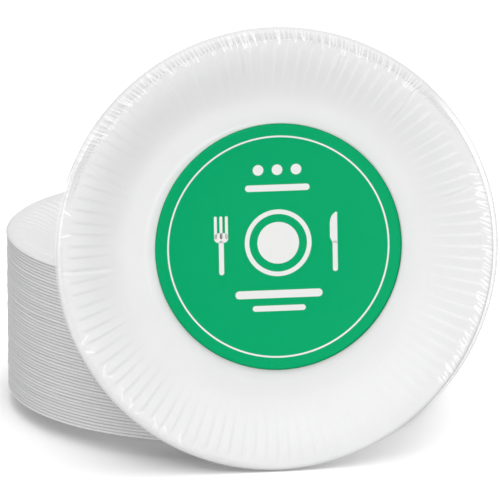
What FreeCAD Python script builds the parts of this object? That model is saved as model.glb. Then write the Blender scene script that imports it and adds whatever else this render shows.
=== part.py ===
import FreeCAD, Part
import math
import os

import Sketcher
from FreeCAD import Placement, Rotation, Vector

# A stack of nested paper plates, face up, and one more plate with a round card label,
# sealed in clear film, which stands on its rim and leans on the front of the stack.
# The axis of the stack is Z, its foot is on Z = 0, and the front is towards -Y.

os.makedirs("parts", exist_ok=True)
doc = FreeCAD.newDocument("paper_plates")


# Driving sizes, in millimetres and degrees
SIZES = [
    ("plate_count", 51),
    ("plate_diameter", 230),
    ("sheet_thickness", 0.6),
    ("nest_pitch", 1.7),
    ("nest_gap", 0.1),
    ("panel_diameter", 133),
    ("panel_step", 0.5),
    ("panel_slope_width", 2),
    ("well_diameter", 154),
    ("riser_height", 3.5),
    ("lip_width", 8),
    ("wall_height", 10.9),
    ("lip_roll_width", 1.5),
    ("lip_crest_height", 11.5),
    ("lip_drop", 0.8),
    ("flute_count", 104),
    ("flute_depth", 1),
    ("flute_run_in", 10),
    ("flute_run_out", 4.5),
    ("label_diameter", 130),
    ("label_flat_diameter", 84),
    ("label_thickness", 0.35),
    ("label_lift", 1.2),
    ("label_gap", 0.05),
    ("label_right", 1.8),
    ("label_up", 1.8),
    ("film_stand_off", 2),
    ("film_thickness", 0.1),
    ("film_gap", 0.2),
    ("film_bevel", 1),
    ("film_rim_height", 1.6),
    ("film_base_margin", 2),
    ("film_right", 0.7),
    ("film_up", 1.2),
    ("lean_tilt", 7),
    ("lean_turn", 8),
    ("lean_right", 29),
    ("lean_gap", 0.1),
]
sheet = doc.addObject("Spreadsheet::Sheet", "sizes")
for row, (alias, value) in enumerate(SIZES, start=1):
    sheet.set(f"A{row}", alias)
    sheet.set(f"B{row}", str(value))
    sheet.setAlias(f"B{row}", alias)
doc.recompute()


def size(alias):
    """One driving size, as a number."""
    return float(sheet.get(alias))


def formula(text):
    """The value of a formula of the sizes, as a number."""
    return float(sheet.evalExpression(text))


# Formulas that several pieces share. The steep riser at the edge of the well is what one
# plate rests on in the next, so its angle comes from the sheet, the pitch and their gap.
RISER_ANGLE = "acos((sizes.sheet_thickness + sizes.nest_gap) / sizes.nest_pitch)"
RISER_WIDTH = f"(sizes.riser_height / tan({RISER_ANGLE}))"
AXIS = "0"


def ground_plane(body, role):
    """The plane of a body's own origin that a section is drawn on."""
    return next(item for item in body.Origin.OriginFeatures if item.Role == role)


def right_hand_normals(points):
    """At each point of an open outline, the mean direction to the right of its run."""
    runs = [(far - near).normalize() for near, far in zip(points, points[1:])]
    before = runs[:1] + runs
    after = runs + runs[-1:]
    means = [first + second for first, second in zip(before, after)]
    return [Vector(mean.y, -mean.x, 0).normalize() for mean in means]


def revolved_sheet(name, face_points, thickness, closed=False):
    """A thin sheet turned about Z. face_points are (radius formula, height formula) along
    its outer face, from the axis outwards. Its inner face is parallel, one thickness to the
    right. An open sheet's edge is cut square, and a closed one ends on the axis."""
    body = doc.addObject("PartDesign::Body", name)
    sketch = body.newObject("Sketcher::SketchObject", name + "_section")
    sketch.AttachmentSupport = [(ground_plane(body, "XZ_Plane"), "")]
    sketch.MapMode = "FlatFace"
    starts = [Vector(formula(radius), formula(height), 0) for radius, height in face_points]
    shifts = [normal * size(thickness) for normal in right_hand_normals(starts)]
    inner_starts = [start + shift for start, shift in zip(starts, shifts)]

    def add_line(near, far):
        return sketch.addGeometry(Part.LineSegment(near, far), False)

    outer = [add_line(*ends) for ends in zip(starts, starts[1:])]
    inner = [add_line(*ends) for ends in zip(inner_starts, inner_starts[1:])]
    start_cap = add_line(inner_starts[0], starts[0])
    end_cap = add_line(starts[-1], inner_starts[-1])

    def constrain(*terms):
        return sketch.addConstraint(Sketcher.Constraint(*terms))

    for chain in (outer, inner):
        for first, second in zip(chain, chain[1:]):
            constrain("Coincident", first, 2, second, 1)
    constrain("Coincident", start_cap, 1, inner[0], 1)
    constrain("Coincident", start_cap, 2, outer[0], 1)
    constrain("Coincident", outer[-1], 2, end_cap, 1)
    constrain("Coincident", inner[-1], 2, end_cap, 2)
    constrain("PointOnObject", inner[0], 1, -2)
    if closed:
        constrain("PointOnObject", inner[-1], 2, -2)
    else:
        constrain("Perpendicular", outer[-1], end_cap)
    for outer_line, inner_line in zip(outer, inner):
        constrain("Parallel", outer_line, inner_line)
        apart = constrain("Distance", inner_line, 1, outer_line, size(thickness))
        sketch.setExpression(f"Constraints[{apart}]", f"sizes.{thickness}")

    for index, (radius, height) in enumerate(face_points):
        line, end = (outer[index], 1) if index < len(outer) else (outer[-1], 2)
        if radius == AXIS:
            constrain("PointOnObject", line, end, -2)
        else:
            across = constrain("DistanceX", -1, 1, line, end, starts[index].x)
            sketch.setExpression(f"Constraints[{across}]", radius)
        up = constrain("DistanceY", -1, 1, line, end, starts[index].y)
        sketch.setExpression(f"Constraints[{up}]", height)

    turn = body.newObject("PartDesign::Revolution", name + "_turn")
    turn.Profile = sketch
    turn.ReferenceAxis = (sketch, ["V_Axis"])
    turn.Angle = 360
    doc.recompute()
    return body


# The face of a pressed plate, from its middle outwards: raised centre panel, well, steep
# riser, sloping wall, and a lip that turns down again at its edge
FLOOR = "sizes.sheet_thickness"
RIM = "sizes.plate_diameter / 2"
LIP_EDGE = "sizes.lip_crest_height - sizes.lip_drop"
plate_face = [
    (AXIS, f"{FLOOR} + sizes.panel_step"),
    ("sizes.panel_diameter / 2", f"{FLOOR} + sizes.panel_step"),
    ("sizes.panel_diameter / 2 + sizes.panel_slope_width", FLOOR),
    ("sizes.well_diameter / 2", FLOOR),
    (f"sizes.well_diameter / 2 + {RISER_WIDTH}", f"{FLOOR} + sizes.riser_height"),
    (f"{RIM} - sizes.lip_width", "sizes.wall_height"),
    (f"{RIM} - sizes.lip_roll_width", "sizes.lip_crest_height"),
    (RIM, LIP_EDGE),
]
blank = revolved_sheet("plate_01", plate_face, "sheet_thickness")


def section_faces(body):
    """The solved corners of a sheet's section, as (radius, height), on its two faces."""
    lines = body.Group[0].Geometry[:-2]
    half = len(lines) // 2
    return [[(chain[0].StartPoint.x, chain[0].StartPoint.y)]
            + [(line.EndPoint.x, line.EndPoint.y) for line in chain]
            for chain in (lines[:half], lines[half:])]


def fluted_rings(face):
    """The rings of one face from its panel outwards, as (radius, height, flute height). The
    flutes grow out of the riser, keep their full depth along the wall and end at the lip."""
    riser, wall = face[4:6]
    slope = (wall[1] - riser[1]) / (wall[0] - riser[0])

    def on_wall(radius):
        return radius, riser[1] + slope * (radius - riser[0]), size("flute_depth") / 2

    flutes = [on_wall(riser[0] + size("flute_run_in")), on_wall(wall[0] - size("flute_run_out"))]
    rings = [(radius, height, 0) for radius, height in face[1:]]
    return rings[:4] + flutes + rings[4:]


def ring_corners(radius, height, flute):
    """The corners of one ring, which are ridge and valley in turn."""
    folds = 2 * int(size("flute_count"))
    corners = []
    for fold in range(folds):
        angle = 2 * math.pi * fold / folds
        lift = flute if fold % 2 == 0 else -flute
        point = Vector(radius * math.cos(angle), radius * math.sin(angle), height + lift)
        corners.append(Part.Vertex(point))
    return corners


def joined(first, second):
    """The straight edges from each corner of one list to the same corner of the other."""
    return [Part.Edge(start, end) for start, end in zip(first, second)]


def facet(*edges):
    return Part.Face(Part.Wire(edges))


TIGHT = 1e-6    # the tolerance to which the facets are turned to face outwards


def folded_solid(rings):
    """A closed solid of flat facets through rings of corners. A level row between two
    rings is one flat face, a row of plain facets has four-sided ones, and a row of fluted
    facets is twisted, so it has triangles."""
    corners = [ring_corners(*ring) for ring in rings]
    around = [joined(ring, ring[1:] + ring[:1]) for ring in corners]
    caps = [Part.Wire(around[0]), Part.Wire(around[-1])]
    faces = [Part.Face(cap) for cap in caps]
    for row in range(len(rings) - 1):
        inner, outer = around[row], around[row + 1]
        twisted = rings[row][2] or rings[row + 1][2]
        if rings[row][1] == rings[row + 1][1] and not twisted:
            wires = sorted([Part.Wire(inner), Part.Wire(outer)], key=lambda wire: wire.Length)
            faces.append(Part.Face(wires[::-1]))
            continue
        spokes = joined(corners[row], corners[row + 1])
        next_spokes = spokes[1:] + spokes[:1]
        if not twisted:
            faces += [facet(*sides) for sides in zip(inner, next_spokes, outer, spokes)]
            continue
        diagonals = joined(corners[row], corners[row + 1][1:] + corners[row + 1][:1])
        faces += [facet(*sides) for sides in zip(inner, next_spokes, diagonals)]
        faces += [facet(*sides) for sides in zip(diagonals, outer, spokes)]
    solid = Part.makeSolid(Part.makeShell(faces))
    solid.fix(TIGHT, TIGHT, TIGHT)
    return solid


def placed_copy(name, shape, placement):
    """One more piece of a shape that is already made."""
    piece = doc.addObject("Part::Feature", name)
    piece.Shape = shape.copy()
    piece.Placement = placement
    return piece


# A plate like the blank, with its wall pressed into radial flutes on both faces
blank_upper, blank_lower = section_faces(blank)
fluted_shape = folded_solid(fluted_rings(blank_upper) + fluted_rings(blank_lower)[::-1])

# The stack: plain pressed plates, and the fluted one on top, where its wall is seen
plate_count = int(size("plate_count"))
pieces = [blank]
for level in range(1, plate_count):
    shape = fluted_shape if level == plate_count - 1 else blank.Shape
    plate = placed_copy(f"plate_{level + 1:02d}", shape, Placement())
    plate.setExpression("Placement.Base.z", f"{level} * sizes.nest_pitch")
    pieces.append(plate)


# The film round the leaning plate: a flat front across the lip, a bevelled edge, and a
# back drawn tight from the lip to the foot of the plate
FRONT = "sizes.lip_crest_height + sizes.film_gap + sizes.film_thickness"
BACK = "-sizes.film_gap - sizes.film_thickness"
FILM_RADIUS = f"{RIM} + sizes.film_stand_off"
FILM_RIM = f"{FRONT} - sizes.film_bevel - sizes.film_rim_height"
film_face = [
    (AXIS, FRONT),
    (f"{FILM_RADIUS} - sizes.film_bevel", FRONT),
    (FILM_RADIUS, f"{FRONT} - sizes.film_bevel"),
    (FILM_RADIUS, FILM_RIM),
    ("sizes.well_diameter / 2 + sizes.film_base_margin", BACK),
    (AXIS, BACK),
]
film = revolved_sheet("film_wrap", film_face, "film_thickness", closed=True)

# The label: a card disc that lies on the panel of the leaning plate, with its edge lifted
LABEL_REST = ("sizes.sheet_thickness + sizes.panel_step + sizes.label_gap"
              " + sizes.label_thickness")
label_face = [
    (AXIS, LABEL_REST),
    ("sizes.label_flat_diameter / 2", LABEL_REST),
    ("sizes.label_diameter / 2", f"{LABEL_REST} + sizes.label_lift"),
]
label = revolved_sheet("label_card", label_face, "label_thickness")


def leaning_frame():
    """The place of the leaning plate: its Z is the way it faces, leaned back by the tilt
    and turned towards +X. The film's edge stands on Z = 0, and its flat back lies one
    lean_gap from the highest corner of the stack's front."""
    tilt = math.radians(size("lean_tilt"))
    rotation = (Rotation(Vector(0, 0, 1), size("lean_turn"))
                * Rotation(Vector(1, 0, 0), 90 - size("lean_tilt")))
    facing = rotation.multVec(Vector(0, 0, 1))

    drop = (formula(FILM_RADIUS) - size("film_up")) * math.cos(tilt)
    centre_height = drop - formula(FILM_RIM) * math.sin(tilt)

    turn = math.radians(size("lean_turn"))
    stack_radius = formula(RIM)
    stack_top = (plate_count - 1) * size("nest_pitch") + formula(LIP_EDGE)
    contact = Vector(stack_radius * math.sin(turn), -stack_radius * math.cos(turn), stack_top)
    reach = facing.dot(contact) - formula(BACK) + size("lean_gap")
    across = size("lean_right")
    depth = (reach - facing.x * across - facing.z * centre_height) / facing.y
    return Placement(Vector(across, depth, centre_height), rotation)


def leaned(right, up):
    """A place on the leaning plate, moved across its face."""
    return leaning_frame() * Placement(Vector(size(right), size(up), 0), Rotation())


pieces.append(placed_copy("leaning_plate", fluted_shape, leaning_frame()))
label.Placement = leaned("label_right", "label_up")
film.Placement = leaned("film_right", "film_up")
pieces += [label, film]
doc.recompute()

for item in doc.Objects:
    if "Invalid" in item.State or "Error" in item.State:
        raise RuntimeError(f"{item.Label} did not recompute")
for piece in pieces:
    if piece.Shape.isNull() or not piece.Shape.isValid() or len(piece.Shape.Solids) != 1:
        raise RuntimeError(f"{piece.Label} is not one valid solid")
for piece in pieces:
    piece.Shape.exportStep(f"parts/{piece.Label}.step")
    box = piece.Shape.BoundBox
    print(f"{piece.Label}: {piece.Shape.Volume:.0f} mm3,"
          f" Z {box.ZMin:.2f} to {box.ZMax:.2f}, X {box.XMin:.1f} to {box.XMax:.1f},"
          f" Y {box.YMin:.1f} to {box.YMax:.1f}")
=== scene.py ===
"""A tall stack of fluted paper plates, and one plate in clear shrink film that leans on its front."""

import math

import bpy
import numpy as np
from mathutils import Matrix, Vector


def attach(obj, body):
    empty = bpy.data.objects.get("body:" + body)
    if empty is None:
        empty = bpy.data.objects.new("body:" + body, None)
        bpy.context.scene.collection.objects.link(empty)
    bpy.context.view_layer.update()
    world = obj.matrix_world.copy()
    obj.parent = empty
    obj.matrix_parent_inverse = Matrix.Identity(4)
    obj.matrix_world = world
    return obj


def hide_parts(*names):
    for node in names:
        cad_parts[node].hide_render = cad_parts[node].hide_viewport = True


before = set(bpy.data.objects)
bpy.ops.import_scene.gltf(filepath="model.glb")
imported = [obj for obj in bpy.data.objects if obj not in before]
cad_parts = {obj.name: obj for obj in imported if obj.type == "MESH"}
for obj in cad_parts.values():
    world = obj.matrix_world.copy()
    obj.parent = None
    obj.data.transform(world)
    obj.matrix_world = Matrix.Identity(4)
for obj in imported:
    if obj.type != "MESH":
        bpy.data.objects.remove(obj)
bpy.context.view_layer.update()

MM = 0.001
TURN = 2 * math.pi

# Sizes of the plates in millimetres, as in the solids, but for a lip that is slightly lower and rounder.
PLATE_COUNT = 51
NEST_PITCH = 1.7
RIM = 115.0
SHEET = 0.6
FLUTES = 104
PANEL_RADIUS = 66.5
PANEL_STEP = 0.5
PANEL_SLOPE = 2.0
WELL_RADIUS = 77.0
LIP_START_HEIGHT = 10.9
LIP_CREST = 113.5
LIP_CREST_HEIGHT = 11.4
LIP_DROP = 1.0

# The finer form that the scene adds, in millimetres: where the wall ends and the lip and the rolled
# edge begin, how round the edge is, between which radii the flutes and the waves of the rim grow and
# fade, how far the wall stays above the well, and the rims of the stacked plates and of those seen whole.
WALL_END = 108.5
LIP_RISE = 105.0
ROLL_START = 112.7
EDGE_ROUND = 0.12
FLUTE_GROW = (79.0, 104.0)
FLUTE_FADE = (107.2, 109.6)
WAVE_GROW = (80.0, 114.0)
LEAST_RISE = 0.02
STACK_RIM = 114.8
WHOLE_RIM = 114.95

# The waves that a pressed rim keeps: how many are added up, and the range of their shares.
WAVES = 5
WAVE_SHARES = (0.4, 1.0)

# The narrow face of a flute as a share of it, then how far the flutes differ in depth, in place and in
# the radius at which they begin.
PLEAT_NARROW = 0.24
PLEAT_SPREAD = 0.22
PLEAT_JITTER = 0.07
PLEAT_INNER = 1.8

# Where the wrapped plate stands and the film round it, in millimetres and degrees, as in the solids.
# The film's front stays 0.02 mm inside the solid's.
LEAN_TILT = math.radians(7)
LEAN_TURN = math.radians(8)
LEAN_RIGHT = 29.0
LEAN_GAP = 0.1
FILM_RADIUS = 117.0
FILM_RIGHT = 0.7
FILM_UP = 1.2
FILM_FRONT = 11.78
FILM_RIM_PLANE = 9.2
FILM_BACK = -0.3
STACK_EDGE_HEIGHT = 95.7

# The label in millimetres: flat in the middle and dished towards its edge, with its place on the plate.
# It is dished a little more and stands a little further right than in the solids, as in the photo.
LABEL_RADIUS = 65.0
LABEL_FLAT_RADIUS = 42.0
LABEL_THICKNESS = 0.35
LABEL_LIFT = 2.0
LABEL_DISH = 1.4
LABEL_REST = 1.15
LABEL_RIGHT = 2.4
LABEL_UP = 1.8
LABEL_SEGMENTS = 256

# The white ink: how far it stands on the card and how far it is sunk in it, in millimetres.
PRINT_THICKNESS = 0.04
PRINT_SINK = 0.02

# Seeds of the random draws.
STACK_SEED = 51
PLATE_SEED = 100
TOP_SEED = 51
WRAPPED_SEED = 7
FILM_SEED = 23

# The floor: half its side and how far it lies below the object in metres, the colour and the glow that
# the camera sees, and the colour that light meets. AMBIENT is the light from all round.
FLOOR_HALF = 40.0
FLOOR_DROP = 0.0002
FLOOR_COLOUR = 1.40
FLOOR_GLOW = 0.04
FLOOR_BOUNCE = 0.6
AMBIENT = 0.28

# The lamps: name, azimuth from the front to the right, elevation and spread in degrees, and strength,
# and how far off they stand in metres.
LAMPS = (
    ("key", 0.0, 42.0, 30.0, 0.74),
    ("front", -12.0, 5.0, 16.0, 1.08),
    ("glint", 16.0, 1.5, 7.0, 0.12),
    ("top", 20.0, 78.0, 50.0, 0.85),
    ("back", 125.0, 42.0, 40.0, 0.44),
    ("rear_right", 150.0, 10.0, 30.0, 0.5),
    ("rear_left", 200.0, 10.0, 30.0, 0.45),
)
LAMP_DISTANCE = 2.0

# The camera: its place in metres, how far it looks down in degrees, its lens and sensor in millimetres.
CAMERA_PLACE = (0.0168, -3.131, 0.948)
CAMERA_DOWN = 15.44
LENS = 432.0
SENSOR = 36.0
FAR_CLIP = 100.0


def smooth_step(low, high, value):
    """0 below low, 1 above high, and an S curve between."""
    share = np.clip((value - low) / (high - low), 0.0, 1.0)
    return share * share * (3 - 2 * share)


def leaning_matrix():
    """The frame of the wrapped plate, in metres: X right and Y up across its face, Z out of it."""
    facing = Vector((math.sin(LEAN_TURN) * math.cos(LEAN_TILT),
                     -math.cos(LEAN_TURN) * math.cos(LEAN_TILT),
                     math.sin(LEAN_TILT)))
    right = Vector((math.cos(LEAN_TURN), math.sin(LEAN_TURN), 0.0))
    up = facing.cross(right)
    touch = Vector((RIM * math.sin(LEAN_TURN), -RIM * math.cos(LEAN_TURN), STACK_EDGE_HEIGHT))
    height = (FILM_RADIUS - FILM_UP) * math.cos(LEAN_TILT) - FILM_RIM_PLANE * math.sin(LEAN_TILT)
    distance = facing.dot(touch) + LEAN_GAP - FILM_BACK
    back = (distance - LEAN_RIGHT * facing.x - height * facing.z) / facing.y
    place = Matrix((right, up, facing)).transposed().to_4x4()
    place.translation = Vector((LEAN_RIGHT, back, height)) * MM
    return place


def plate_height(radius):
    """Height of a plate's upper face above its foot, before flutes and wear, in millimetres."""
    panel = SHEET + PANEL_STEP * (1 - smooth_step(PANEL_RADIUS, PANEL_RADIUS + PANEL_SLOPE, radius))
    wall = (LIP_START_HEIGHT - SHEET) * smooth_step(WELL_RADIUS, WALL_END, radius)
    lip = (LIP_CREST_HEIGHT - LIP_START_HEIGHT) * smooth_step(LIP_RISE, LIP_CREST, radius)
    roll = LIP_DROP * np.clip((radius - ROLL_START) / (RIM - ROLL_START), 0, 1) ** 2
    return panel + wall + lip - roll


def plate_slope(radius):
    """Steepness of the upper face at a radius."""
    step = 0.05
    return (plate_height(radius + step) - plate_height(radius - step)) / (2 * step)


class Pleats:
    """The flutes of one pressed plate: each a broad face and a narrow one that faces anticlockwise."""

    def __init__(self, rng):
        self.start = (np.arange(FLUTES) + rng.uniform(-PLEAT_JITTER, PLEAT_JITTER, FLUTES)) / FLUTES
        self.deep = 1 + rng.uniform(-PLEAT_SPREAD, PLEAT_SPREAD, FLUTES)
        self.inner = rng.uniform(-PLEAT_INNER, PLEAT_INNER, FLUTES)

    def height(self, turn, radius, depth):
        """Height that the flutes add at a share of a turn and a radius, in millimetres."""
        share = np.mod(turn - self.start[0], 1.0) + self.start[0]
        index = np.searchsorted(self.start, share, side="right") - 1
        index = np.clip(index, 0, FLUTES - 1)
        ends = np.append(self.start[1:], self.start[0] + 1)
        along = (share - self.start[index]) / (ends[index] - self.start[index])
        broad = 1 - PLEAT_NARROW
        rise = np.where(along < broad, along / broad, (1 - along) / PLEAT_NARROW)
        rounded = rise * rise * (3 - 2 * rise) * 0.5 + rise * 0.5
        grown = smooth_step(*FLUTE_GROW, radius + self.inner[index])
        kept = 1 - smooth_step(*FLUTE_FADE, radius)
        return depth * self.deep[index] * grown * kept * (rounded - 0.5)


# The creases of the wrapped plate: angle at the outer and inner end in degrees, outer and inner
# radius, depth and half width in millimetres.
CREASES = (
    (99.0, 98.2, 110.5, 95.0, 0.34, 0.8),
    (70.6, 70.2, 108.0, 99.0, 0.26, 0.7),
    (69.2, 69.0, 108.0, 98.0, 0.24, 0.7),
    (48.4, 46.4, 113.5, 91.0, 0.40, 0.9),
    (17.0, 15.4, 109.5, 92.0, 0.36, 0.8),
    (183.0, 184.5, 114.5, 85.0, 0.32, 0.8),
    (293.3, 292.6, 108.5, 93.0, 0.30, 0.8),
    (260.5, 260.9, 111.5, 103.0, 0.22, 0.7),
    (271.5, 271.2, 112.0, 103.0, 0.22, 0.7),
    (154.0, 156.7, 108.5, 80.5, 0.34, 0.8),
    (121.5, 121.0, 112.0, 101.0, 0.24, 0.7),
)

# The share of a crease's length over which it fades at each end, and its raised flank: its place
# beside the groove, its half width and its share of the depth.
CREASE_END = 0.12
FLANK_PLACE = 1.5
FLANK_WIDTH = 1.2
FLANK_SHARE = 0.5


def crease_height(turn, radius, creases):
    """Narrow folds pressed into the rim by accident, each with one raised flank."""
    total = np.zeros_like(radius)
    for outer, inner, far, near, depth, half_width in creases:
        along = (radius - near) / (far - near)
        angle = np.radians(inner + (outer - inner) * along)
        across = (np.mod(turn * TURN - angle + math.pi, TURN) - math.pi) * radius
        inside = smooth_step(0.0, CREASE_END, along) * (1 - smooth_step(1 - CREASE_END, 1.0, along))
        flank = FLANK_SHARE * np.exp(-((across - FLANK_PLACE) / FLANK_WIDTH) ** 2)
        total += depth * inside * (flank - np.exp(-(across / half_width) ** 2))
    return total


def ring_mesh(name, rings, low_cap, high_cap):
    """A mesh of closed rings of points, with a point that closes each end. The counts of two rings that
    follow each other are multiples."""
    points = [np.array([low_cap])]
    starts = []
    count = 1
    for ring in rings:
        starts.append(count)
        points.append(ring)
        count += len(ring)
    points.append(np.array([high_cap]))
    faces = []
    first = len(rings[0])
    for i in range(first):
        faces.append((0, starts[0] + i, starts[0] + (i + 1) % first))
    for (ring, begin), (following, after) in zip(zip(rings, starts), zip(rings[1:], starts[1:])):
        here, there = len(ring), len(following)
        if here >= there:
            share = here // there
            for i in range(there):
                near = [begin + (i * share + k) % here for k in range(share + 1)]
                faces.append((*near[::-1], after + i, after + (i + 1) % there))
        else:
            share = there // here
            for i in range(here):
                far = [after + (i * share + k) % there for k in range(share + 1)]
                faces.append((begin + (i + 1) % here, begin + i, *far))
    last = len(rings[-1])
    for i in range(last):
        faces.append((count, starts[-1] + (i + 1) % last, starts[-1] + i))
    mesh = bpy.data.meshes.new(name)
    mesh.from_pydata(np.concatenate(points).tolist(), [], faces)
    mesh.validate()
    mesh.shade_smooth()
    return mesh


def turned(count):
    """Shares of a turn for the points of one ring."""
    return np.arange(count) / count


def placed_points(turn, radius, height, middle=(0.0, 0.0)):
    """Points in millimetres on a ring."""
    x = middle[0] + radius * np.cos(turn * TURN)
    y = middle[1] + radius * np.sin(turn * TURN)
    return np.stack((x, y, np.broadcast_to(height, turn.shape)), axis=1)


def plate_mesh(name, seed, upper, lower, depth, creases=(), wave=0.1, rim=RIM, jog=(0.0, 0.0)):
    """One pressed plate. upper and lower give a radius and a count of points for each ring, outwards."""
    rng = np.random.default_rng(seed)
    pleats = Pleats(rng)
    phases = rng.uniform(0, TURN, WAVES)
    swells = rng.uniform(*WAVE_SHARES, WAVES)

    def worn(turn, radius):
        lift = np.zeros_like(turn)
        for k, (phase, swell) in enumerate(zip(phases, swells)):
            lift += swell * np.sin(turn * TURN * (2 + 3 * k) + phase)
        return lift * wave / 3 * smooth_step(*WAVE_GROW, radius)

    def face(radius, count, below):
        turn = turned(count)
        radii = np.full(count, float(radius)) * rim / RIM
        height = plate_height(radii * RIM / rim) + pleats.height(turn, radii, depth)
        height += crease_height(turn, radii, creases) + worn(turn, radii)
        height = np.maximum(height, SHEET + LEAST_RISE * (radii > WELL_RADIUS))
        if below:
            height = height - SHEET * np.sqrt(1 + plate_slope(radii) ** 2)
        return placed_points(turn, radii, height, jog)

    rings = [face(radius, count, False) for radius, count in upper]
    edge_count = upper[-1][1]
    edge = face(RIM, edge_count, False)
    inward = placed_points(turned(edge_count), np.full(edge_count, rim - EDGE_ROUND), 0.0, jog)
    top_edge = edge.copy()
    top_edge[:, :2] = inward[:, :2]
    middle_edge = edge - np.array((0.0, 0.0, SHEET * 0.5))
    low_edge = top_edge - np.array((0.0, 0.0, SHEET))
    rings += [top_edge, middle_edge, low_edge]
    rings += [face(radius, count, True) for radius, count in reversed(lower)]
    middle_height = float(plate_height(np.array([0.0]))[0])
    return ring_mesh(name, [ring * MM for ring in rings],
                     np.array((*jog, middle_height)) * MM,
                     np.array((*jog, middle_height - SHEET)) * MM)


def add_piece(name, mesh, material, node=None, place=None):
    """A finished piece of the object, which rides on the one body."""
    piece = bpy.data.objects.new(name, mesh)
    bpy.context.scene.collection.objects.link(piece)
    if place is not None:
        mesh.transform(place)
    mesh.materials.append(material)
    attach(piece, "root")
    if node:
        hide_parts(node)
    return piece


def new_material(name):
    """An empty node material and its output node."""
    material = bpy.data.materials.new(name)
    material.use_nodes = True
    tree = material.node_tree
    tree.nodes.clear()
    return material, tree, tree.nodes.new("ShaderNodeOutputMaterial")


def attribute(tree, name):
    """The factor that a mesh attribute of this name carries."""
    node = tree.nodes.new("ShaderNodeAttribute")
    node.attribute_name = name
    return node.outputs["Fac"]


def add_bump(tree, shader, height, strength, distance):
    """Small relief on a shader, with its height in metres."""
    bump = tree.nodes.new("ShaderNodeBump")
    bump.inputs["Strength"].default_value = strength
    bump.inputs["Distance"].default_value = distance
    tree.links.new(height.outputs["Fac"], bump.inputs["Height"])
    tree.links.new(bump.outputs["Normal"], shader.inputs["Normal"])


def noise(tree, source, scale, detail, roughness=0.5):
    """A noise texture in metres of the object."""
    node = tree.nodes.new("ShaderNodeTexNoise")
    node.inputs["Scale"].default_value = scale
    node.inputs["Detail"].default_value = detail
    node.inputs["Roughness"].default_value = roughness
    tree.links.new(source, node.inputs["Vector"])
    return node


def blended(tree, mode, first, second):
    """Two colours multiplied or added."""
    mix = tree.nodes.new("ShaderNodeMix")
    mix.data_type = "RGBA"
    mix.blend_type = mode
    mix.inputs["Factor"].default_value = 1.0
    tree.links.new(first, mix.inputs["A"])
    tree.links.new(second, mix.inputs["B"])
    return mix.outputs["Result"]


def ramp(tree, source, *stops):
    """A colour ramp over a factor. stops are (position, grey or colour)."""
    node = tree.nodes.new("ShaderNodeValToRGB")
    while len(node.color_ramp.elements) < len(stops):
        node.color_ramp.elements.new(0.5)
    for element, (position, colour) in zip(node.color_ramp.elements, stops):
        element.position = position
        element.color = (*colour, 1.0) if isinstance(colour, tuple) else (colour, colour, colour, 1.0)
    tree.links.new(source, node.inputs["Fac"])
    return node.outputs["Color"]


def paper_material(name, light, dark):
    """Pressed white paperboard: a slight cloud of tone, short fibres, and a matt, faintly rough face."""
    material, tree, output = new_material(name)
    shader = tree.nodes.new("ShaderNodeBsdfPrincipled")
    where = tree.nodes.new("ShaderNodeTexCoord").outputs["Object"]
    stretch = tree.nodes.new("ShaderNodeMapping")
    stretch.inputs["Scale"].default_value = (1.0, 1.6, 1.3)
    tree.links.new(where, stretch.inputs["Vector"])
    cloud = noise(tree, where, scale=55.0, detail=3.0)
    fibre = noise(tree, stretch.outputs["Vector"], scale=2600.0, detail=4.0, roughness=0.65)
    tone = ramp(tree, cloud.outputs["Fac"], (0.3, dark), (0.7, light))
    grain = ramp(tree, fibre.outputs["Fac"], (0.3, 0.965), (0.65, 1.0))
    tree.links.new(blended(tree, "MULTIPLY", tone, grain), shader.inputs["Base Color"])
    rough = ramp(tree, fibre.outputs["Fac"], (0.2, 0.82), (0.8, 0.96))
    tree.links.new(rough, shader.inputs["Roughness"])
    shader.inputs["Specular IOR Level"].default_value = 0.25
    add_bump(tree, shader, fibre, strength=0.25, distance=0.00004)
    tree.links.new(shader.outputs["BSDF"], output.inputs["Surface"])
    return material


def card_material(name, colour, shade, roughness, spread=0.06):
    """Printed card: an even field of ink with a slight mottle and the faint tooth of the board. spread is
    how far the roughness strays."""
    material, tree, output = new_material(name)
    shader = tree.nodes.new("ShaderNodeBsdfPrincipled")
    where = tree.nodes.new("ShaderNodeTexCoord").outputs["Object"]
    mottle = noise(tree, where, scale=900.0, detail=4.0)
    tooth = noise(tree, where, scale=5200.0, detail=3.0)
    tone = ramp(tree, mottle.outputs["Fac"], (0.3, shade), (0.7, colour))
    tree.links.new(tone, shader.inputs["Base Color"])
    rough = ramp(tree, tooth.outputs["Fac"], (0.3, roughness - spread), (0.7, roughness + spread))
    tree.links.new(rough, shader.inputs["Roughness"])
    shader.inputs["Specular IOR Level"].default_value = 0.06
    add_bump(tree, shader, tooth, strength=0.2, distance=0.00002)
    tree.links.new(shader.outputs["BSDF"], output.inputs["Surface"])
    return material


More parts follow.
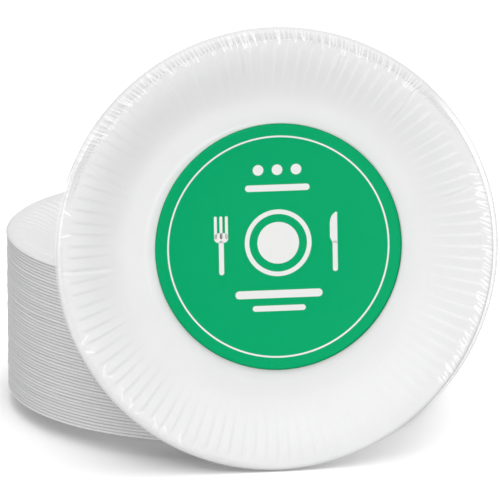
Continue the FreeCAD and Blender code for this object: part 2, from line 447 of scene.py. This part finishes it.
def film_material(name):
    """Clear shrink film: almost unseen where it is flat, milky where it is gathered, glossy on its folds
    and along its edge, where a painted highlight of diffuse white is added too. The milk carries a painted
    shade, darker where the film faces sideways or down, and a painted shade darkens the film at its
    outline. Where it is milky it scatters about as much light as it holds back, so paper under it stays
    white."""
    material, tree, output = new_material(name)
    gathered = attribute(tree, "gathered")
    glint_strength = attribute(tree, "glint_strength")
    outline_shade_mask = attribute(tree, "outline_shade_mask")
    clear = tree.nodes.new("ShaderNodeBsdfTransparent")
    # Painted shade: the clear film is darkened at its outline, where it turns over the rim.
    painted_outline_tint = ramp(tree, outline_shade_mask, (0.0, 0.995), (1.0, 0.8))
    passed = ramp(tree, gathered, (0.0, 1.0), (1.0, 0.0))
    tree.links.new(blended(tree, "MULTIPLY", painted_outline_tint, passed), clear.inputs["Color"])

    milk = tree.nodes.new("ShaderNodeBsdfDiffuse")
    way = tree.nodes.new("ShaderNodeSeparateXYZ")
    tree.links.new(tree.nodes.new("ShaderNodeTexCoord").outputs["Normal"], way.inputs["Vector"])
    # Painted shade: the milk is darker where the film faces sideways or down, and lighter where it faces
    # up.
    milk_tone_painted_shade = ramp(tree, way.outputs["Z"], (0.0, 0.76), (0.3, 0.82), (0.95, 0.84))
    veil = ramp(tree, gathered, (0.0, 0.0), (0.2, 0.22), (0.5, 0.6), (0.8, 0.88), (1.0, 1.0))
    # Painted highlight: diffuse white is added to the milk on the crests of the folds and along the edge.
    painted_crest_highlight = ramp(tree, glint_strength, (0.2, 0.0), (0.75, 0.15))
    milky = blended(tree, "ADD", blended(tree, "MULTIPLY", veil, milk_tone_painted_shade), painted_crest_highlight)
    tree.links.new(milky, milk.inputs["Color"])
    cloudy = tree.nodes.new("ShaderNodeAddShader")
    tree.links.new(clear.outputs["BSDF"], cloudy.inputs[0])
    tree.links.new(milk.outputs["BSDF"], cloudy.inputs[1])

    where = tree.nodes.new("ShaderNodeTexCoord").outputs["Object"]
    haze = noise(tree, where, scale=260.0, detail=3.0)
    ripple = noise(tree, where, scale=500.0, detail=2.0)
    gloss = tree.nodes.new("ShaderNodeBsdfGlossy")
    tree.links.new(ramp(tree, haze.outputs["Fac"], (0.3, 0.12), (0.7, 0.22)), gloss.inputs["Roughness"])
    add_bump(tree, gloss, ripple, strength=0.12, distance=0.0001)
    shine = ramp(tree, glint_strength, (0.0, 0.0005), (0.3, 0.002), (0.8, 0.06), (1.0, 0.2))
    whole = tree.nodes.new("ShaderNodeMixShader")
    tree.links.new(shine, whole.inputs["Fac"])
    tree.links.new(cloudy.outputs["Shader"], whole.inputs[1])
    tree.links.new(gloss.outputs["BSDF"], whole.inputs[2])
    tree.links.new(whole.outputs["Shader"], output.inputs["Surface"])
    return material


paper = paper_material("pressed_paper", light=0.88, dark=0.865)
green_card = card_material("green_card", colour=(0.0, 0.40, 0.15), shade=(0.0, 0.385, 0.143),
                           roughness=0.5)
white_print = card_material("white_print", colour=(0.88, 0.88, 0.87), shade=(0.86, 0.86, 0.85),
                            roughness=0.55)
film = film_material("shrink_film")

# Rings of a plate that is seen whole, and of one whose rim alone shows in the stack. Each is a radius in
# millimetres and a count of points.
FINE = FLUTES * 16
WHOLE_UPPER = (
    [(20, 52), (45, 104), (64, 208)]
    + [(r, 416) for r in (66, 66.8, 67.5, 68.2, 69.2, 74)]
    + [(r, 832) for r in (77, 79, 81)]
    + [(r, FINE) for r in np.arange(83.0, 104.1, 1.5)]
    + [(r, FINE) for r in (105.2, 106.4, 107.2, 108, 108.8, 109.6, 111, 112.4, 113.4, 114.2)]
)
WHOLE_LOWER = (
    [(20, 52), (45, 104), (64, 208), (66.6, 208), (68.4, 208), (74, 208)]
    + [(r, 832) for r in (77, 80, 83, 86, 89, 92, 95, 98, 101, 103.5, 105.5, 107.2, 108.8, 111, 113.4)]
    + [(114.2, FINE)]
)
STACK_SEGMENTS = FLUTES * 2
STACK_UPPER = (
    [(30, 52), (66.5, 52), (68.5, 52)]
    + [(r, STACK_SEGMENTS) for r in (77, 84, 90, 97, 104, 108, 111.5, 113.5, 114.3)]
)
STACK_LOWER = (
    [(30, 52), (66.5, 52), (68.5, 52)]
    + [(r, STACK_SEGMENTS) for r in (77, 84, 90, 97, 104, 108, 113.5)]
)

# How far the plates of the stack stand out of line, the range of their waves, how far their rims fall
# short, and the depths of the flutes, in millimetres.
STACK_JOG = 0.14
STACK_WAVES = (0.08, 0.22)
STACK_SHORT = 0.25
STACK_FLUTES = 0.6
TOP_FLUTES = 0.55
WRAPPED_FLUTES = 0.40

rng = np.random.default_rng(STACK_SEED)
for level in range(1, PLATE_COUNT):
    jog = rng.uniform(-STACK_JOG, STACK_JOG, 2)
    wave = rng.uniform(*STACK_WAVES)
    rim = STACK_RIM - rng.uniform(0.0, STACK_SHORT)
    mesh = plate_mesh(f"stack_plate_{level:02d}", PLATE_SEED + level, STACK_UPPER, STACK_LOWER,
                      STACK_FLUTES, wave=wave, rim=rim, jog=jog)
    spin = Matrix.Rotation(rng.uniform(0, TURN), 4, "Z")
    lift = Matrix.Translation((0.0, 0.0, NEST_PITCH * (level - 1) * MM))
    add_piece(f"stack_plate_{level:02d}", mesh, paper, f"plate_{level:02d}", lift @ spin)

top_mesh = plate_mesh("top_plate", TOP_SEED, WHOLE_UPPER, WHOLE_LOWER, TOP_FLUTES, wave=0.12, rim=WHOLE_RIM)
top_place = Matrix.Translation((0.0, 0.0, NEST_PITCH * (PLATE_COUNT - 1) * MM))
add_piece("top_plate", top_mesh, paper, f"plate_{PLATE_COUNT}", top_place)

leaning = leaning_matrix()
leaning_mesh = plate_mesh("wrapped_plate", WRAPPED_SEED, WHOLE_UPPER, WHOLE_LOWER, WRAPPED_FLUTES,
                          creases=CREASES, wave=0.1, rim=WHOLE_RIM)
add_piece("wrapped_plate", leaning_mesh, paper, "leaning_plate", leaning)


def label_height(radius):
    """Height of the label's underside above the plate's foot: flat in the middle, dished up to its edge."""
    share = np.clip((radius - LABEL_FLAT_RADIUS) / (LABEL_RADIUS - LABEL_FLAT_RADIUS), 0, 1)
    return LABEL_REST + LABEL_LIFT * share ** LABEL_DISH


def label_mesh():
    """The round card, with its cut edge."""
    middle = (LABEL_RIGHT, LABEL_UP)
    radii = [(10, 64), (25, 64)] + [(r, LABEL_SEGMENTS) for r in (42, 48, 53, 57, 60, 62.5, 63.9)]

    def ring(radius, count, lift):
        return placed_points(turned(count), np.full(count, radius), label_height(radius) + lift, middle)

    rings = [ring(radius, count, LABEL_THICKNESS) for radius, count in radii]
    rings.append(ring(LABEL_RADIUS, LABEL_SEGMENTS, LABEL_THICKNESS * 0.5))
    rings += [ring(radius, count, 0.0) for radius, count in reversed(radii)]
    return ring_mesh("label", [ring * MM for ring in rings],
                     np.array((*middle, LABEL_REST + LABEL_THICKNESS)) * MM,
                     np.array((*middle, LABEL_REST)) * MM)


add_piece("label", label_mesh(), green_card, "label_card", leaning)


def printed(name, outlines):
    """White ink fields on the label. Each outline is a closed run of points about the label's middle."""
    points = []
    faces = []
    for outline in outlines:
        begin = len(points)
        count = len(outline)
        for lift in (-PRINT_SINK, PRINT_THICKNESS):
            for x, y in outline:
                height = float(label_height(math.hypot(x, y))) + LABEL_THICKNESS + lift
                points.append(((x + LABEL_RIGHT) * MM, (y + LABEL_UP) * MM, height * MM))
        faces.append(tuple(range(begin + count - 1, begin - 1, -1)))
        faces.append(tuple(range(begin + count, begin + 2 * count)))
        for i in range(count):
            after = (i + 1) % count
            faces.append((begin + i, begin + after, begin + count + after, begin + count + i))
    mesh = bpy.data.meshes.new(name)
    mesh.from_pydata(points, [], faces)
    mesh.validate()
    return mesh


def band(name, outer, inner, middle=(0.0, 0.0), count=LABEL_SEGMENTS):
    """A printed ring that follows the label's dish."""
    points = []
    section = ((outer, -PRINT_SINK), (outer, PRINT_THICKNESS),
               (inner, PRINT_THICKNESS), (inner, -PRINT_SINK))
    angle = turned(count) * TURN
    for radius, lift in section:
        x = middle[0] + radius * np.cos(angle)
        y = middle[1] + radius * np.sin(angle)
        height = label_height(np.hypot(x, y)) + LABEL_THICKNESS + lift
        points.append(np.stack((x + LABEL_RIGHT, y + LABEL_UP, height), axis=1) * MM)
    faces = []
    for side in range(4):
        here, there = side * count, (side + 1) % 4 * count
        for i in range(count):
            after = (i + 1) % count
            faces.append((here + i, here + after, there + after, there + i))
    mesh = bpy.data.meshes.new(name)
    mesh.from_pydata(np.concatenate(points).tolist(), [], faces)
    mesh.validate()
    return mesh


def rounded_box(width, height, radius, middle, steps=8):
    """Outline of a box with rounded corners."""
    outline = []
    for quarter, (sx, sy) in enumerate(((1, 1), (-1, 1), (-1, -1), (1, -1))):
        for step in range(steps + 1):
            angle = math.pi / 2 * (quarter + step / steps)
            x = middle[0] + sx * (width / 2 - radius) + radius * math.cos(angle)
            y = middle[1] + sy * (height / 2 - radius) + radius * math.sin(angle)
            outline.append((x, y))
    return outline


def disc(radius, middle, count=64):
    """Outline of a circle."""
    x, y = middle
    angles = [TURN * i / count for i in range(count)]
    return [(x + radius * math.cos(angle), y + radius * math.sin(angle)) for angle in angles]


def fork(middle):
    """Outline parts of a plain fork: handle, palm and three tines."""
    x, y = middle
    handle = rounded_box(2.6, 18.0, 1.2, (x, y - 7.0))
    palm = rounded_box(7.4, 5.0, 2.2, (x, y + 3.6))
    tines = [rounded_box(1.5, 12.0, 0.7, (x + shift, y + 9.0)) for shift in (-2.9, 0.0, 2.9)]
    return [handle, palm, *tines]


def knife(middle):
    """Outline parts of a plain knife: handle and blade."""
    x, y = middle
    handle = rounded_box(2.6, 16.0, 1.2, (x, y - 8.0))
    back = [(x + 1.3, y - 1.0), (x + 1.3, y + 15.0), (x + 0.6, y + 15.4)]
    tip = [(x + 1.0 - 3.6 * math.sin(angle), y + 9.0 + 6.0 * math.cos(angle))
           for angle in np.linspace(0.3, 1.57, 8)]
    heel = [(x - 2.6, y + 2.0), (x - 1.3, y - 1.0)]
    return [handle, back + tip + heel]


# The marks on the label in millimetres about its middle: a plate with a fork and a knife beside it, bars
# as width, height, corner radius and middle, and dots.
PLATE_MARK = (0.0, 2.0)
PLATE_DISC = 11.0
PLATE_LINE = (17.6, 15.2)
EDGE_LINE = (58.6, 57.7)
FORK_MARK = (-30.0, 2.0)
KNIFE_MARK = (30.0, 2.0)
BARS = (
    (46.0, 4.2, 2.1, (0.0, -25.0)),
    (28.0, 3.0, 1.5, (0.0, -32.5)),
    (34.0, 3.4, 1.7, (0.0, 31.0)),
)
DOT_RADIUS = 2.8
DOTS = ((-10.0, 40.5), (0.0, 40.5), (10.0, 40.5))

print_parts = fork(FORK_MARK) + knife(KNIFE_MARK)
print_parts += [disc(PLATE_DISC, PLATE_MARK)]
print_parts += [rounded_box(*bar) for bar in BARS]
print_parts += [disc(DOT_RADIUS, dot, 40) for dot in DOTS]
edge_line = band("label_edge_line", *EDGE_LINE)
plate_line = band("label_plate_line", *PLATE_LINE, PLATE_MARK, 128)
marks = printed("label_marks", print_parts)
add_piece("label_edge_line", edge_line, white_print, None, leaning)
add_piece("label_plate_line", plate_line, white_print, None, leaning)
add_piece("label_marks", marks, white_print, None, leaning)

# The film: a drawn sheet over the face, gathered in small folds at the rim, and drawn in over the back.
FOLDS = 330
FILM_FINE = FOLDS * 8

# In millimetres: how far its front lies back from the face of the solid, the height of its folds on the
# front and at the edge, and how far its back stands off the solid's lowest face.
FILM_SLACK = 0.24
FRONT_FOLD = 0.13
EDGE_FOLD = 0.2
BACK_LIFT = 0.02

# The gathers: how far their places differ as a share of their spacing, then the ranges of their
# heights, of the radii at which they start, of their half widths and of their slants. Then the length
# over which each rises, the radius that its slant turns about, and the share left where the film is flat.
FOLD_JITTER = 0.32
FOLD_HEIGHTS = (0.6, 1.0)
FOLD_STARTS = (106.6, 110.2)
FOLD_WIDTHS = (0.44, 0.64)
FOLD_SLANTS = (0.10, 0.42)
FOLD_ONSET = 1.0
FOLD_PIVOT = 113.0
FOLD_LEAST = 0.03

# The gathers slant the other way at the right of the rim, told by the cosine of their angle.
RIGHT_SIDE = (0.5, 0.8)
SLANT_SWING = 2.7

# Sectors of the rim, each a middle and a half width in degrees, from the right and anticlockwise, and
# a strength: where the film is gathered all over, white over the crown, folded on the front alone,
# milky beyond the lip, glossy along its edge with a painted highlight there, and darkened at its outline by
# a painted shade.
GATHERED_SECTORS = ((98.0, 62.0, 1.0),)
CROWN_SECTORS = ((98.0, 70.0, 0.97),)
FOLDED_SECTORS = ((350.0, 38.0, 0.95), (222.0, 34.0, 0.45), (180.0, 24.0, 0.4), (290.0, 22.0, 0.2))
MILKY_SECTORS = ((100.0, 70.0, 0.97), (352.0, 36.0, 0.2), (220.0, 50.0, 0.2))
EDGE_SECTORS = ((176.0, 36.0, 0.85), (222.0, 22.0, 0.5))
OUTLINE_SECTORS = ((42.0, 102.0, 1.0),)
SECTOR_CORE = 0.72

# The radii between which each of these begins or ends, in millimetres. The crown is ragged: it reaches
# further in along the crests of the folds.
FOLDED_END = (113.4, 115.2)
MILKY_START = (112.2, 113.6)
CROWN_START = (110.4, 112.4)
CROWN_RAGGED = 1.5
EDGE_START = (113.6, 114.4)
SHINE_END = (114.8, 116.0)
OUTLINE_START = (116.0, 116.4)

# How strongly the folds shine on the front, as gloss and as a painted highlight of diffuse white on their
# crests, how much of that they lose at the edge, and the even and the folded part of the shine along the
# edge, which is gloss and a painted highlight too. Behind the rim, inside BEHIND_RADIUS, a share of all
# this is left.
FRONT_SHINE = 0.92
EDGE_LOSS = 0.8
EDGE_EVEN = 0.4
EDGE_SPECKLED = 1.4
BEHIND_RADIUS = 113.0
BEHIND_SHARE = 0.5

# The film's section: radii on the front with a count of points, then radii and heights over the
# shoulder, then radii, heights and counts over the back.
FILM_FRONT_RINGS = (
    [(25, 110), (60, 110), (90, 330), (100, 330), (104.5, FOLDS * 4)]
    + [(r, FILM_FINE) for r in (105.5, 106.5, 107.5, 108.5, 109.5, 110.5, 111.5, 112.5, 113.5, 114.4)]
)
FILM_SHOULDER = (
    (115.3, 11.25), (116.0, 10.85), (116.5, 10.35), (116.8, 9.8), (116.85, 9.2),
    (116.3, 8.75), (115.0, 8.35), (112.5, 7.75), (109.0, 6.9),
)
FILM_BACK_RINGS = (
    (103.0, 5.4, FOLDS * 4), (95.0, 3.4, 330), (86.0, 1.2, 330), (80.5, -0.08, 330),
    (78.5, FILM_BACK + BACK_LIFT, 330), (60.0, FILM_BACK + BACK_LIFT, 110),
    (25.0, FILM_BACK + BACK_LIFT, 110),
)


def sector(turn, sectors):
    """The greatest strength of some sectors at a share of a turn."""
    degrees = turn * 360.0
    total = np.zeros_like(degrees)
    for middle, spread, strength in sectors:
        away = np.mod(degrees - middle + 180.0, 360.0) - 180.0
        kept = 1 - smooth_step(spread * SECTOR_CORE, spread, np.abs(away))
        total = np.maximum(total, strength * kept)
    return total


class Folds:
    """The gathers of the film, each a narrow slanted ridge with its own start, height and width."""

    def __init__(self, rng):
        self.middle = (np.arange(FOLDS) + rng.uniform(-FOLD_JITTER, FOLD_JITTER, FOLDS)) / FOLDS
        self.high = rng.uniform(*FOLD_HEIGHTS, FOLDS)
        self.start = rng.uniform(*FOLD_STARTS, FOLDS)
        self.wide = rng.uniform(*FOLD_WIDTHS, FOLDS)
        self.slant = rng.uniform(*FOLD_SLANTS, FOLDS)
        self.slant *= 1.0 - SLANT_SWING * smooth_step(*RIGHT_SIDE, np.cos(self.middle * TURN))

    def height(self, turn, radius):
        """Height that the gathers add on a ring, as a share of the highest."""
        total = np.zeros_like(turn)
        nearest = np.floor(turn * FOLDS).astype(int)
        for step in (-2, -1, 0, 1, 2):
            index = np.mod(nearest + step, FOLDS)
            drift = self.slant[index] * (radius - FOLD_PIVOT) / (radius * TURN)
            across = (np.mod(turn - self.middle[index] - drift + 0.5, 1.0) - 0.5) * TURN * radius
            ridge = np.exp(-(across / self.wide[index]) ** 2)
            begun = smooth_step(self.start[index], self.start[index] + FOLD_ONSET, radius)
            total += self.high[index] * ridge * begun
        flat = sector(turn, FOLDED_SECTORS) * (1 - smooth_step(*FOLDED_END, radius))
        return total * np.clip(FOLD_LEAST + flat + sector(turn, GATHERED_SECTORS), 0.0, 1.0)


# Wider folds drawn across the lip: angle in degrees, inner and outer radius, and slant in degrees. Then
# their height as a share of the highest gather, their half width and the share that each end fades over.
WIDE_FOLDS = (
    (203.0, 106.5, 115.0, 3.0), (206.5, 108.0, 114.5, -2.2), (212.5, 105.0, 113.0, 4.2),
    (215.0, 107.0, 112.0, -2.6), (221.0, 106.0, 114.0, 4.4), (224.5, 107.0, 113.0, 3.2),
    (228.0, 108.5, 114.5, -3.0), (233.0, 106.0, 113.5, 4.0), (236.5, 108.0, 112.5, 2.6),
    (241.5, 109.0, 114.5, 3.6), (174.0, 108.0, 114.5, 1.2), (168.0, 109.0, 115.0, -1.4),
    (146.0, 107.5, 115.0, 2.0), (140.5, 108.5, 115.0, 1.5), (8.0, 108.5, 114.5, 2.4),
    (14.5, 107.5, 114.0, 2.0), (349.0, 108.0, 114.5, -2.0), (331.0, 108.5, 114.0, 2.2),
)
WIDE_FOLD_HEIGHT = 0.85
WIDE_FOLD_WIDTH = 0.55
WIDE_FOLD_END = 0.25


def wide_fold_height(turn, radius):
    """Height that the wider folds add at a share of a turn."""
    total = np.zeros_like(turn)
    for angle, inner, outer, slant in WIDE_FOLDS:
        along = (radius - inner) / (outer - inner)
        middle = (angle + slant * (along - 0.5)) / 360.0
        across = (np.mod(turn - middle + 0.5, 1.0) - 0.5) * TURN * radius
        begun = smooth_step(0.0, WIDE_FOLD_END, along)
        inside = begun * (1 - smooth_step(1 - WIDE_FOLD_END, 1.0, along))
        ridge = np.exp(-(across / WIDE_FOLD_WIDTH) ** 2)
        total = np.maximum(total, WIDE_FOLD_HEIGHT * inside * ridge)
    return total


def edge_glare(turn, fold):
    """How strong the gloss and the painted highlight are along the film's edge, more so on the crests of
    its folds.
    """
    return sector(turn, EDGE_SECTORS) * (EDGE_EVEN + EDGE_SPECKLED * fold)


def film_mesh():
    """One closed skin round the wrapped plate. Attributes tell its milky parts, the strength of its gloss
    and painted highlight, and the painted shade at its outline.
    """
    folds = Folds(np.random.default_rng(FILM_SEED))
    middle = (FILM_RIGHT, FILM_UP)
    rings = []
    gathered = [np.zeros(1)]
    glint_strength = [np.zeros(1)]
    outline_shade_mask = [np.zeros(1)]
    for radius, count in FILM_FRONT_RINGS:
        turn = turned(count)
        fold = np.zeros(count)
        if count == FILM_FINE:
            fold = np.maximum(folds.height(turn, radius), wide_fold_height(turn, radius))
        milky = sector(turn, MILKY_SECTORS) * smooth_step(*MILKY_START, radius)
        crown = sector(turn, CROWN_SECTORS) * smooth_step(*CROWN_START, radius + CROWN_RAGGED * fold)
        edge = edge_glare(turn, fold) * smooth_step(*EDGE_START, radius)
        gathered.append(np.maximum(milky, crown))
        # This strength sets the film's gloss and a painted highlight of diffuse white on its crests and
        # edge.
        glint_strength.append(np.maximum(FRONT_SHINE * fold, edge))
        outline_shade_mask.append(np.zeros(count))
        height = FILM_FRONT - FILM_SLACK + FRONT_FOLD * fold
        rings.append(placed_points(turn, np.full(count, float(radius)), height, middle))
    turn = turned(FILM_FINE)
    for radius, height in FILM_SHOULDER:
        fade = 1.0 if radius > BEHIND_RADIUS else BEHIND_SHARE
        fold = folds.height(turn, radius) * fade
        shine = fold * (1.0 - EDGE_LOSS * smooth_step(*SHINE_END, radius))
        gathered.append(sector(turn, MILKY_SECTORS) * fade)
        glint_strength.append(np.maximum(shine, edge_glare(turn, fold) * fade))
        # Painted shade at the film's outline.
        outline_shade_mask.append(sector(turn, OUTLINE_SECTORS) * smooth_step(*OUTLINE_START, radius))
        rings.append(placed_points(turn, radius - EDGE_FOLD * fade + EDGE_FOLD * fold, height, middle))
    for radius, height, count in FILM_BACK_RINGS:
        gathered.append(np.zeros(count))
        glint_strength.append(np.zeros(count))
        outline_shade_mask.append(np.zeros(count))
        rings.append(placed_points(turned(count), np.full(count, radius), height, middle))
    gathered.append(np.zeros(1))
    glint_strength.append(np.zeros(1))
    outline_shade_mask.append(np.zeros(1))
    mesh = ring_mesh("film", [ring * MM for ring in rings],
                     np.array((*middle, FILM_FRONT - FILM_SLACK)) * MM,
                     np.array((*middle, FILM_BACK + BACK_LIFT)) * MM)
    for name, values in (("gathered", gathered), ("glint_strength", glint_strength), ("outline_shade_mask", outline_shade_mask)):
        values = np.clip(np.concatenate(values), 0.0, 1.0).astype(np.float32)
        mesh.attributes.new(name, "FLOAT", "POINT").data.foreach_set("value", values)
    return mesh


add_piece("film", film_mesh(), film, "film_wrap", leaning)


def seen_directly(tree):
    """1 for what the camera sees, straight, in a reflection or through film, and 0 for falling light."""
    rays = tree.nodes.new("ShaderNodeLightPath")
    seen = rays.outputs["Is Camera Ray"]
    for kind in ("Is Glossy Ray", "Is Transmission Ray"):
        either = tree.nodes.new("ShaderNodeMath")
        either.operation = "MAXIMUM"
        tree.links.new(seen, either.inputs[0])
        tree.links.new(rays.outputs[kind], either.inputs[1])
        seen = either.outputs["Value"]
    return seen


def add_floor():
    """A wide pale floor that keeps the object's shadow and is white where nothing shades it."""
    corners = [(-FLOOR_HALF, -FLOOR_HALF, 0), (FLOOR_HALF, -FLOOR_HALF, 0),
               (FLOOR_HALF, FLOOR_HALF, 0), (-FLOOR_HALF, FLOOR_HALF, 0)]
    mesh = bpy.data.meshes.new("floor")
    mesh.from_pydata(corners, [], [(0, 1, 2, 3)])
    floor = bpy.data.objects.new("floor", mesh)
    floor.location.z = -FLOOR_DROP
    bpy.context.scene.collection.objects.link(floor)
    material, tree, output = new_material("floor")
    falling = tree.nodes.new("ShaderNodeBsdfDiffuse")
    falling.inputs["Color"].default_value = (FLOOR_BOUNCE, FLOOR_BOUNCE, FLOOR_BOUNCE, 1.0)
    shaded = tree.nodes.new("ShaderNodeBsdfDiffuse")
    shaded.inputs["Color"].default_value = (FLOOR_COLOUR, FLOOR_COLOUR, FLOOR_COLOUR, 1.0)
    glow = tree.nodes.new("ShaderNodeEmission")
    glow.inputs["Strength"].default_value = FLOOR_GLOW
    both = tree.nodes.new("ShaderNodeAddShader")
    tree.links.new(shaded.outputs["BSDF"], both.inputs[0])
    tree.links.new(glow.outputs["Emission"], both.inputs[1])
    final = tree.nodes.new("ShaderNodeMixShader")
    tree.links.new(seen_directly(tree), final.inputs["Fac"])
    tree.links.new(falling.outputs["BSDF"], final.inputs[1])
    tree.links.new(both.outputs["Shader"], final.inputs[2])
    tree.links.new(final.outputs["Shader"], output.inputs["Surface"])
    mesh.materials.append(material)


def set_world(ambient):
    """Soft light from all round, seen as plain white by the camera and in reflections."""
    world = bpy.data.worlds.new("studio")
    world.use_nodes = True
    tree = world.node_tree
    tree.nodes.clear()
    output = tree.nodes.new("ShaderNodeOutputWorld")
    lit = tree.nodes.new("ShaderNodeBackground")
    lit.inputs["Color"].default_value = (1.0, 1.0, 1.0, 1.0)
    lit.inputs["Strength"].default_value = ambient
    white = tree.nodes.new("ShaderNodeBackground")
    white.inputs["Color"].default_value = (1.0, 1.0, 1.0, 1.0)
    white.inputs["Strength"].default_value = 1.0
    mix = tree.nodes.new("ShaderNodeMixShader")
    tree.links.new(seen_directly(tree), mix.inputs["Fac"])
    tree.links.new(lit.outputs["Background"], mix.inputs[1])
    tree.links.new(white.outputs["Background"], mix.inputs[2])
    tree.links.new(mix.outputs["Shader"], output.inputs["Surface"])
    bpy.context.scene.world = world


def add_lamp(name, azimuth, elevation, spread, strength):
    """A wide soft light from far off. azimuth 0 shines from the front, and grows to the right."""
    lamp = bpy.data.lights.new(name, "SUN")
    lamp.angle = math.radians(spread)
    lamp.energy = strength
    holder = bpy.data.objects.new(name, lamp)
    bpy.context.scene.collection.objects.link(holder)
    side = math.radians(azimuth)
    rise = math.radians(elevation)
    away = Vector((math.sin(side) * math.cos(rise), -math.cos(side) * math.cos(rise), math.sin(rise)))
    holder.location = away * LAMP_DISTANCE
    holder.rotation_mode = "QUATERNION"
    holder.rotation_quaternion = (-away).to_track_quat("-Z", "Y")


def add_camera():
    """The photograph's view: far off, level, and looking a little down."""
    lens = bpy.data.cameras.new("camera")
    lens.sensor_width = SENSOR
    lens.lens = LENS
    lens.clip_end = FAR_CLIP
    camera = bpy.data.objects.new("camera", lens)
    camera.location = CAMERA_PLACE
    camera.rotation_euler = (math.radians(90 - CAMERA_DOWN), 0.0, 0.0)
    bpy.context.scene.collection.objects.link(camera)
    bpy.context.scene.camera = camera


add_floor()
set_world(AMBIENT)
for lamp in LAMPS:
    add_lamp(*lamp)
add_camera()
bpy.context.scene.view_settings.view_transform = "Standard"

bpy.context.view_layer.update()
